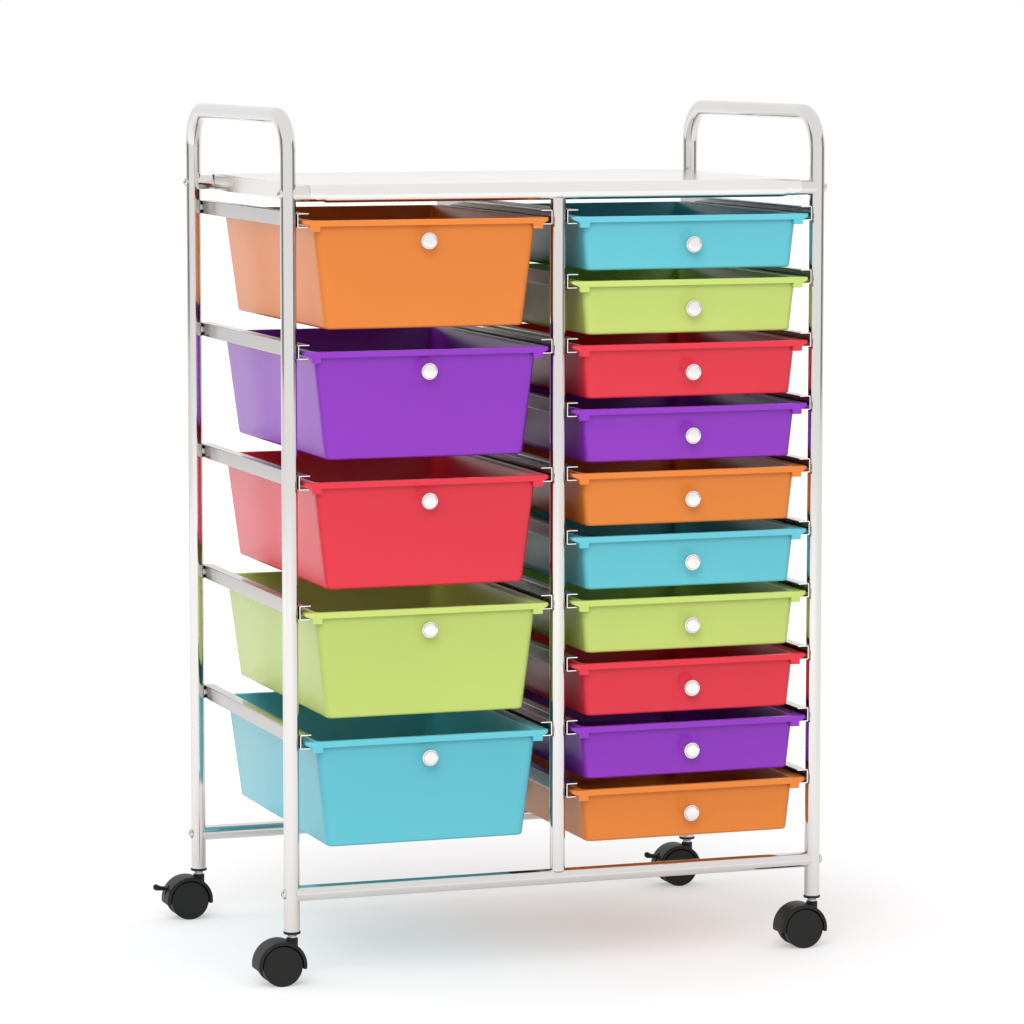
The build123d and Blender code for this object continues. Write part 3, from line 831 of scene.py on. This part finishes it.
class CART_OT_bolts(bpy.types.Operator):
    """Make the domed bolt heads on the outer sides of the posts"""

    bl_idname = "cart.bolts"
    bl_label = "Bolts"

    def execute(self, context):
        profile = screw_head(
            base=-2.2 * MM, radius=5.4 * MM, edge=0.35 * MM, height=2.9 * MM, dome=(12, 68),
            recess_radius=1.5 * MM, recess_depth=1.4 * MM,
        )
        shape = Shape()
        for side in (-1, 1):
            for y in (-POST_Y, POST_Y):
                face_x = side * (POST_X + TUBE_RADIUS)
                shape.lathe(
                    profile, steps=40,
                    place=lambda u, v, h: (face_x + side * h, y + u, BOTTOM_TUBE_Z + v),
                )
        mesh = repeated(
            "bolt_heads", shape.mesh("bolt_heads", smooth_angle=40), tree_for("stack"), "bolt_steel",
            {"Count": 2, "Step": (0, 0, TOP_TUBE_Z - BOTTOM_TUBE_Z)},
        )
        add_piece("bolt_heads", mesh, "frame", "bolt_steel", ["frame_bolts"])
        return {"FINISHED"}


def rounded_ring(half_width, front, back, radius, z, edge_share):
    """A rounded rectangle at a height, with two extra points on its front edge."""
    x, near, far = half_width - radius, front + radius, back - radius
    ring = arc((x, near), radius, 270, 360, 8) + arc((x, far), radius, 0, 90, 8)
    ring += arc((-x, far), radius, 90, 180, 8) + arc((-x, near), radius, 180, 270, 8)
    ring += [(-edge_share * x, front), (edge_share * x, front)]
    return [Vector((u, v, z)) for u, v in ring]


# Slopes of the drawers' walls, in degrees, and how far a knob sits below the middle of its drawer's rails
FRONT_DRAFT = 2.0
BACK_DRAFT = 3.5
SIDE_DRAFT = {"large": 6.9, "small": 5.9}
KNOB_DROP = {"large": 22.5 * MM, "small": 31.0 * MM}


def tray_shape(size, sizes):
    """A moulded tray about its own origin, midway between its rails over the front posts' axes."""
    tray_depth = extent(f"{size}_drawer_1", 2)
    rim_top = RIM_OVER_RAIL[size]
    lip, back = LIP_FROM_POST, LIP_FROM_POST + RIM_LENGTH
    skirt = sizes.rim_height
    rim_thickness, rim_corner, tightest_rim_corner = 2.0 * MM, 5.0 * MM, 0.5 * MM
    wall_corner, tightest_wall_corner = 8.0 * MM, 1.5 * MM
    edge_round, foot_round, inner_round = 0.9 * MM, 3.0 * MM, 3.0 * MM
    skirt_inner_bevel, skirt_outer_bevel = 0.2 * MM, 0.3 * MM
    root_height, root_width = 0.8 * MM, 0.6 * MM  # of the bevel between wall and rim
    stop_outer, stop_width, stop_height = 129.85 * MM, 10.6 * MM, 5.2 * MM
    lip_rise, lip_end_depth = 3.5 * MM, 5.5 * MM
    stop_share = stop_outer / (RIM_HALF - rim_corner)  # the front edge's extra points are over the stops

    def wall_ring(depth, inset):
        """The wall's outline at a depth below the rim's top, inside the given inset."""
        return rounded_ring(
            RIM_HALF - sizes.rim_side - depth * tan(radians(SIDE_DRAFT[size])) - inset,
            lip + sizes.rim_front + depth * tan(radians(FRONT_DRAFT)) + inset,
            back - sizes.rim_front - depth * tan(radians(BACK_DRAFT)) - inset,
            max(wall_corner - inset, tightest_wall_corner), rim_top - depth, stop_share,
        )

    def rim_ring(inset, depth):
        """The rim's outline inside the given inset; its lower front corners rise towards the rails."""
        ring = rounded_ring(
            RIM_HALF - inset, lip + inset, back - inset,
            max(rim_corner - inset, tightest_rim_corner), rim_top - depth, stop_share,
        )
        share_down = (depth - rim_thickness) / (skirt - rim_thickness)
        if share_down > 0:
            for point in ring:
                beyond = (abs(point.x) - stop_outer) / (RIM_HALF - stop_outer)
                if point.y < lip + lip_end_depth and beyond > 0:
                    point.z += lip_rise * min(beyond, 1) * share_down
        return ring

    round_steps = 4
    quarter = [pi / 2 * i / round_steps for i in range(round_steps + 1)]
    rings = [
        wall_ring(tray_depth - foot_round * (1 - cos(a)), foot_round * (1 - sin(a))) for a in quarter
    ]
    rings += [wall_ring(rim_thickness + root_height, 0), wall_ring(rim_thickness, -root_width)]
    rings += [rim_ring(rim_thickness, rim_thickness), rim_ring(rim_thickness, skirt - skirt_inner_bevel)]
    rings += [rim_ring(rim_thickness - skirt_inner_bevel, skirt), rim_ring(skirt_outer_bevel, skirt)]
    rings += [rim_ring(0, skirt - skirt_outer_bevel)]
    rings += [rim_ring(edge_round * (1 - cos(a)), edge_round * (1 - sin(a))) for a in quarter]
    rings += [
        wall_ring(edge_round * (1 - cos(a)), sizes.wall - edge_round * (1 - sin(a))) for a in quarter
    ]
    floor_depth = tray_depth - sizes.wall
    rings += [
        wall_ring(floor_depth - inner_round * (1 - sin(a)), sizes.wall + inner_round * (1 - cos(a)))
        for a in quarter
    ]
    shape = Shape()
    shape.loft(rings)
    # Stop blocks under the ends of the front lip, rooted in the lip and the wall
    lip_overlap, wall_overlap, face_setback, soft = 1.2 * MM, 0.5 * MM, 0.03 * MM, 0.5 * MM
    low = rim_top - skirt - stop_height
    high = rim_top - skirt + lip_overlap
    for side in (-1, 1):
        near, far = sorted((side * stop_outer, side * (stop_outer - stop_width)))
        outline = [(near, high), (far, high)] + arc((far - soft, low + soft), soft, 0, -90, 4)
        outline += arc((near + soft, low + soft), soft, 270, 180, 4)
        shape.extrude(
            outline, lambda u, v, y: (u, y, v), lip + face_setback, lip + sizes.rim_front + wall_overlap
        )
    return shape


def moved(shape, offset):
    """A copy of a shape's points moved by an offset, with the same faces."""
    copy = Shape()
    copy.points = [point + offset for point in shape.points]
    copy.faces = shape.faces
    return copy


def drawer_places():
    """Size, number and origin of every drawer."""
    for size, count, pitch in (("large", LARGE_COUNT, LARGE_PITCH), ("small", SMALL_COUNT, SMALL_PITCH)):
        for number in range(1, count + 1):
            yield size, number, Vector((BANK_X[size], -POST_Y, TOP_RAIL_Z - pitch * (number - 1)))


class CART_OT_drawers(bpy.types.Operator):
    """Make the moulded drawers"""

    bl_idname = "cart.drawers"
    bl_label = "Drawers"

    def execute(self, context):
        trays = {size: tray_shape(size, context.scene.cart_sizes) for size in BANK_X}
        for size, number, origin in drawer_places():
            node, name = f"{size}_drawer_{number}", f"{size}_tray_{number}"
            mesh = moved(trays[size], origin).mesh(name, smooth_angle=40)
            add_piece(name, mesh, node, SLOT_OF[node], [node])
        return {"FINISHED"}


def knob_profile():
    """Radius and height of a knob, from its foot on the drawer to the middle of its domed face."""
    face_radius, foot_radius, neck_radius = 9.0 * MM, 7.0 * MM, 6.2 * MM
    foot_edge, neck_height, flare_height = 0.5 * MM, 3.6 * MM, 9.0 * MM
    rim_width, rim_round, groove = 2.2 * MM, 0.7 * MM, 0.6 * MM
    disc, dome, dome_power = 7.4 * MM, 1.93 * MM, 0.25
    neck_steps, flare_steps, dome_steps = 6, 8, 10
    face = flare_height + rim_width
    profile = [(0, 0), (foot_radius, 0), (foot_radius, foot_edge)]
    for step in range(1, neck_steps + 1):
        share = step / neck_steps
        radius = neck_radius + (foot_radius - neck_radius) * (1 - share) ** 2
        profile.append((radius, foot_edge + (neck_height - foot_edge) * share))
    for step in range(1, flare_steps + 1):
        angle = pi / 2 * step / flare_steps
        radius = face_radius - (face_radius - neck_radius) * cos(angle)
        profile.append((radius, neck_height + (flare_height - neck_height) * sin(angle)))
    profile += arc((face_radius - rim_round, face - rim_round), rim_round, 0, 90, 5)
    profile += [(disc + groove, face), (disc + groove / 2, face - groove), (disc, face)]
    for step in range(1, dome_steps):
        angle = pi / 2 * step / dome_steps
        profile.append((disc * cos(angle), face + dome * sin(angle) ** dome_power))
    return profile + [(0, face + dome)]


class CART_OT_knobs(bpy.types.Operator):
    """Make the turned knobs, each with its screw inside the drawer"""

    bl_idname = "cart.knobs"
    bl_label = "Knobs"

    def execute(self, context):
        sizes = context.scene.cart_sizes
        knob = knob_profile()
        screw = screw_head(
            base=0, radius=3.5 * MM, edge=0.8 * MM, height=2.2 * MM, dome=(10, 74),
            recess_radius=0.9 * MM, recess_depth=1.0 * MM,
        )
        tilt = Matrix.Rotation(radians(FRONT_DRAFT), 3, "X")
        for size, number, origin in drawer_places():
            name = f"{size}_pull_{number}"
            depth = RIM_OVER_RAIL[size] + KNOB_DROP[size]
            wall_y = LIP_FROM_POST + sizes.rim_front + depth * tan(radians(FRONT_DRAFT))
            seat = origin + Vector((0, wall_y, -KNOB_DROP[size]))
            shape = Shape()
            shape.lathe(knob, steps=48, place=lambda u, v, h: seat + tilt @ Vector((u, -h, v)))
            shape.lathe(screw, steps=24, place=lambda u, v, h: seat + tilt @ Vector((u, sizes.wall + h, v)))
            mesh = shape.mesh(name, smooth_angle=40)
            add_piece(name, mesh, f"{size}_drawer_{number}", "knob_chrome", [f"{size}_knob_{number}"])
        return {"FINISHED"}


class CART_OT_feet(bpy.types.Operator):
    """Make the sockets in the posts' feet and the caster stems under them"""

    bl_idname = "cart.feet"
    bl_label = "Sockets and stems"

    def execute(self, context):
        corners = {"Width": 2 * POST_X, "Depth": 2 * POST_Y}
        pieces = (
            ("foot_sockets", self.socket_profile(), "black_nylon", "caster_sockets"),
            ("foot_stems", self.stem_profile(), "stem_steel", "caster_stems"),
        )
        for name, profile, slot, node in pieces:
            shape = Shape()
            shape.lathe(profile, steps=48, place=lambda u, v, z: (u, v, z))
            mesh = repeated(name, shape.mesh(name, smooth_angle=40), tree_for("corners"), slot, corners)
            add_piece(name, mesh, "frame", slot, [node])
        return {"FINISHED"}

    def socket_profile(self):
        """Radius and height of a socket: its bore, the flange under the post, and its start in the tube."""
        flange_radius = extent("caster_sockets", 0) / 2 - POST_X
        bore, soft = 4.3 * MM, 0.8 * MM
        inside_radius, inside_top = TUBE_RADIUS - 1.4 * MM, FOOT_Z + 2 * MM
        profile = [(bore, inside_top), (bore, SOCKET_LOW_Z)]
        profile += arc((flange_radius - soft, SOCKET_LOW_Z + soft), soft, 270, 360, 4)
        profile += arc((flange_radius - soft, FOOT_Z - soft), soft, 0, 90, 4)
        return profile + [(inside_radius, FOOT_Z), (inside_radius, inside_top), (bore, inside_top)]

    def stem_profile(self):
        """Radius and height of a stem: the pin in the hood, the shoulder, and the stud in the socket."""
        pin_low, stud_top = low_high("caster_stems", 2)
        pin_radius, pin_bevel, stud_radius = 3.0 * MM, 0.4 * MM, 4.0 * MM
        shoulder_radius, bevel = extent("caster_stems", 0) / 2 - POST_X, 0.5 * MM
        neck_radius = shoulder_radius - 0.9 * MM
        low = SOCKET_LOW_Z - 4.2 * MM
        shoulder_top, neck_low = low + 2.4 * MM, low + 2.8 * MM
        profile = [(0, pin_low), (pin_radius - pin_bevel, pin_low), (pin_radius, pin_low + pin_bevel)]
        profile += [(pin_radius, low), (shoulder_radius - bevel, low), (shoulder_radius, low + bevel)]
        profile += [(shoulder_radius, shoulder_top), (neck_radius, neck_low), (neck_radius, SOCKET_LOW_Z)]
        return profile + [(stud_radius, SOCKET_LOW_Z), (stud_radius, stud_top), (0, stud_top)]


class CART_OT_casters(bpy.types.Operator):
    """Make the twin wheels, smooth copies of the hoods and brake levers, and the levers' thick ends"""

    bl_idname = "cart.casters"
    bl_label = "Casters"

    def execute(self, context):
        for corner in CORNERS:
            add_merged_copy(f"caster_hood_{corner}", f"caster_{corner}", smooth_angle=32)
            self.make_wheels(corner)
            if f"brake_lever_{corner}" in frame["nodes"]:
                add_merged_copy(f"brake_lever_{corner}", f"brake_lever_{corner}", smooth_angle=40)
                self.make_grip(corner)
        return {"FINISHED"}

    def make_grip(self, corner):
        """The thick end of a brake lever's arm, a little bowed, outside the hood."""
        lever, name = f"brake_lever_{corner}", f"brake_grip_{corner}"
        hub_radius, tip_radius, bow = 4.0 * MM, 3.2 * MM, 0.7 * MM
        left, right = low_high(lever, 0)
        low, high = low_high(lever, 2)
        hub = Vector((right - hub_radius, middle(lever, 1), low + hub_radius))
        tip = Vector((left + tip_radius, hub.y, high - tip_radius))
        along = (tip - hub).normalized()
        across = Vector((0, 1, 0))
        above = along.cross(across)
        # Radius, and distance from the hub, in millimetres
        profile = [(0, 15.0), (1.9, 15.0), (2.55, 15.8), (2.7, 17.0), (2.6, 18.6), (2.7, 20.4), (3.0, 22.2)]
        profile += [(3.35, 24.0), (3.45, 25.4), (3.2, 26.8), (2.4, 27.9), (1.2, 28.4), (0, 28.5)]
        profile = [(radius * MM, distance * MM) for radius, distance in profile]
        start, end = profile[0][1], profile[-1][1]

        def place(u, v, distance):
            """A point of the bowed grip."""
            sag = bow * sin(pi * (distance - start) / (end - start))
            return hub + along * distance + across * u + above * v - Vector((0, 0, sag))

        shape = Shape()
        shape.lathe(profile, steps=28, place=place)
        add_piece(name, shape.mesh(name, smooth_angle=50), lever, "black_nylon", [])

    def make_wheels(self, corner):
        """Two wheels with a closed, slightly dished outer face, and the axle between them."""
        node, name = f"caster_wheels_{corner}", f"twin_wheels_{corner}"
        half = extent(node, 1) / 2
        inner, web = 4.8 * MM, 6.0 * MM  # from the middle to a wheel's inner face, and to its sunk web
        axle_radius, axle_end = 2.0 * MM, inner + 3 * MM
        hub_radius, hub_slope = 6.0 * MM, 0.4 * MM
        tread_radius, tread_slope, soft = 17.0 * MM, 0.5 * MM, 1.6 * MM
        rim_radius, rim_slope, rim_depth = 19.2 * MM, 0.4 * MM, 0.35 * MM
        dish_radius, dish_depth, middle_depth = 9.0 * MM, 0.15 * MM, 0.1 * MM
        centre = Vector([middle(node, axis) for axis in range(3)])
        profile = [(axle_radius, inner), (hub_radius, inner), (hub_radius + hub_slope, web)]
        profile += [(tread_radius - tread_slope, web), (tread_radius, inner)]
        profile += arc((WHEEL_RADIUS - soft, inner + soft), soft, 270, 360, 5)
        profile += arc((WHEEL_RADIUS - soft, half - soft), soft, 0, 90, 6)
        profile += [(rim_radius, half), (rim_radius - rim_slope, half - rim_depth)]
        profile += [(dish_radius, half - dish_depth), (0, half - middle_depth)]
        shape = Shape()
        for side in (-1, 1):
            shape.lathe(profile, steps=72, place=lambda u, v, h: centre + Vector((u, side * h, v)))
        axle = [(0, -axle_end), (axle_radius, -axle_end), (axle_radius, axle_end), (0, axle_end)]
        shape.lathe(axle, steps=24, place=lambda u, v, h: centre + Vector((u, h, v)))
        add_piece(name, shape.mesh(name, smooth_angle=40), f"wheels_{corner}", "black_nylon", [node])


class CART_OT_hidden_parts(bpy.types.Operator):
    """Give the pieces inside the tubes and hoods their finish"""

    bl_idname = "cart.hidden_parts"
    bl_label = "Plugs and pins"

    def execute(self, context):
        for node in ("tube_end_plugs", "brake_pin_back_left", "brake_pin_back_right"):
            slots = frame["nodes"][node].data.materials
            slots.clear()
            slots.append(finish_for(SLOT_OF[node]))
        return {"FINISHED"}


class CART_OT_stage(bpy.types.Operator):
    """Make the floor, the light and the camera"""

    bl_idname = "cart.stage"
    bl_label = "Stage"

    def execute(self, context):
        stage = context.scene.cart_stage
        self.make_floor()
        self.make_world(context.scene, stage.ambient)
        self.make_lamp("key", place=(-1.8, -3.6, 3.4), size=2.6, power=stage.key_power)
        self.make_lamp("side", place=(-4.2, 0.8, 1.6), size=2.0, power=stage.side_power)
        self.make_flag("left_flag", stage.yaw - pi / 2)
        self.make_flag("right_flag", stage.yaw + pi / 2)
        camera = bpy.data.cameras.new("camera")
        camera.lens = stage.lens
        camera.sensor_width = 36
        camera.clip_end = 100
        viewer = new_object("camera", camera)
        viewer.location = stage.camera
        viewer.rotation_euler = (pi / 2 - stage.pitch, 0, -stage.yaw)
        context.scene.camera = viewer
        context.scene.view_settings.view_transform = "Standard"
        return {"FINISHED"}

    def seen(self, tree, mirrored=1.0):
        """1 on rays that show the background directly or through glass, and a share in a reflection."""
        path = {wire.socket.name: wire for wire in tree.node("ShaderNodeLightPath")}
        shown = path["Is Camera Ray"] + mirrored * path["Is Glossy Ray"] + path["Is Transmission Ray"]
        return tree.node("ShaderNodeClamp", None, {"Value": shown})[0]

    def make_floor(self):
        """A white floor that glows a little where it is seen, and more away from the cart, so that the floor
        round the cart's shadow is painted darker.
        """
        material, tree = new_material("white_floor")
        # Painted shade: the glow is weaker near the cart, which darkens the floor round the cart's real
        # shadow.
        shadow_reach, clear_reach = 0.35, 1.1
        glow_in_shadow, glow_gain = 0.36, 0.25
        distance = tree.node("ShaderNodeVectorMath", {"operation": "LENGTH"}, {0: tree.place()})[1]
        away = tree.node("ShaderNodeMapRange", None, {
            "Value": distance, "From Min": shadow_reach, "From Max": clear_reach,
        })[0]
        strength = self.seen(tree, mirrored=0.75) * (glow_in_shadow + glow_gain * away)
        glow = tree.mix(strength, (0, 0, 0), (1, 0.995, 0.995))
        diffuse = tree.node("ShaderNodeBsdfDiffuse", None, {"Color": (0.6, 0.6, 0.6, 1)})[0]
        light = tree.node("ShaderNodeEmission", None, {"Color": glow})[0]
        both = tree.node("ShaderNodeAddShader", None, {0: diffuse, 1: light})[0]
        tree.node("ShaderNodeOutputMaterial", None, {"Surface": both})
        reach = 30
        corners = [(-reach, -reach, 0), (reach, -reach, 0), (reach, reach, 0), (-reach, reach, 0)]
        self.add_board("floor", corners, material)

    def add_board(self, name, corners, material):
        """A flat stage piece with four corners."""
        mesh = bpy.data.meshes.new(name)
        mesh.from_pydata(corners, [], [(0, 1, 2, 3)])
        mesh.materials.append(material)
        board = new_object(name, mesh)
        return board

    def make_world(self, scene, ambient):
        """White surroundings, a little dimmer as a light than they look."""
        world = bpy.data.worlds.new("white_room")
        world.use_nodes = True
        tree = NodeTree(world.node_tree)
        colour = tree.mix(self.seen(tree), (ambient, ambient, ambient), (1, 1, 1))
        light = tree.node("ShaderNodeBackground", None, {"Color": colour})[0]
        tree.node("ShaderNodeOutputWorld", None, {"Surface": light})
        scene.world = world

    def make_flag(self, name, turn):
        """A tall grey board far to one side, out of the camera's sight, that draws an edge on the chrome."""
        material, tree = new_material(f"{name}_grey")
        tone = tree.mix(tree.noise(2.0), (0.36, 0.36, 0.36), (0.42, 0.42, 0.42))
        tree.surface({"Base Color": tone, "Roughness": 0.9})
        far, half, top = 9.0, 3.4, 4.5
        across = Vector((cos(turn), -sin(turn), 0))
        foot = Vector((sin(turn), cos(turn), 0)) * far
        outline = [(-half, 0), (half, 0), (half, top), (-half, top)]
        corners = [foot + u * across + Vector((0, 0, v)) for u, v in outline]
        self.add_board(name, corners, material).visible_camera = False

    def make_lamp(self, name, place, size, power):
        """A soft square lamp that points at the cart's middle and isn't mirrored in the chrome."""
        target = Vector((0, 0, 0.5))
        lamp = bpy.data.lights.new(name, "AREA")
        lamp.shape = "SQUARE"
        lamp.size = size
        lamp.energy = power
        holder = new_object(name, lamp)
        holder.visible_glossy = False
        holder.location = place
        holder.rotation_euler = (target - Vector(place)).to_track_quat("-Z", "Y").to_euler()


OPERATORS = (
    CART_OT_side_frames,
    CART_OT_cross_tubes,
    CART_OT_shelf,
    CART_OT_rails,
    CART_OT_welds,
    CART_OT_bolts,
    CART_OT_drawers,
    CART_OT_knobs,
    CART_OT_feet,
    CART_OT_casters,
    CART_OT_hidden_parts,
    CART_OT_stage,
)


class CART_PT_panel(bpy.types.Panel):
    """Sidebar panel that lists the cart's pieces"""

    bl_idname = "CART_PT_panel"
    bl_label = "Rolling drawer cart"
    bl_space_type = "VIEW_3D"
    bl_region_type = "UI"
    bl_category = "Cart"

    def draw(self, context):
        for name, group in GROUPS.items():
            column = self.layout.column(align=True)
            for key in group.__annotations__:
                column.prop(getattr(context.scene, name), key)
        for operator in OPERATORS:
            self.layout.operator(operator.bl_idname)


GROUPS = {"cart_sizes": CartSizes, "cart_finish": CartFinish, "cart_stage": CartStage}
CLASSES = (*GROUPS.values(), *OPERATORS, CART_PT_panel)


def register():
    for item in CLASSES:
        bpy.utils.register_class(item)
    for name, group in GROUPS.items():
        setattr(bpy.types.Scene, name, PointerProperty(type=group))


def unregister():
    for name in GROUPS:
        delattr(bpy.types.Scene, name)
    for item in reversed(CLASSES):
        bpy.utils.unregister_class(item)


def main():
    register()
    for operator in OPERATORS:
        group, name = operator.bl_idname.split(".")
        getattr(getattr(bpy.ops, group), name)()


if __name__ == "__main__":
    main()
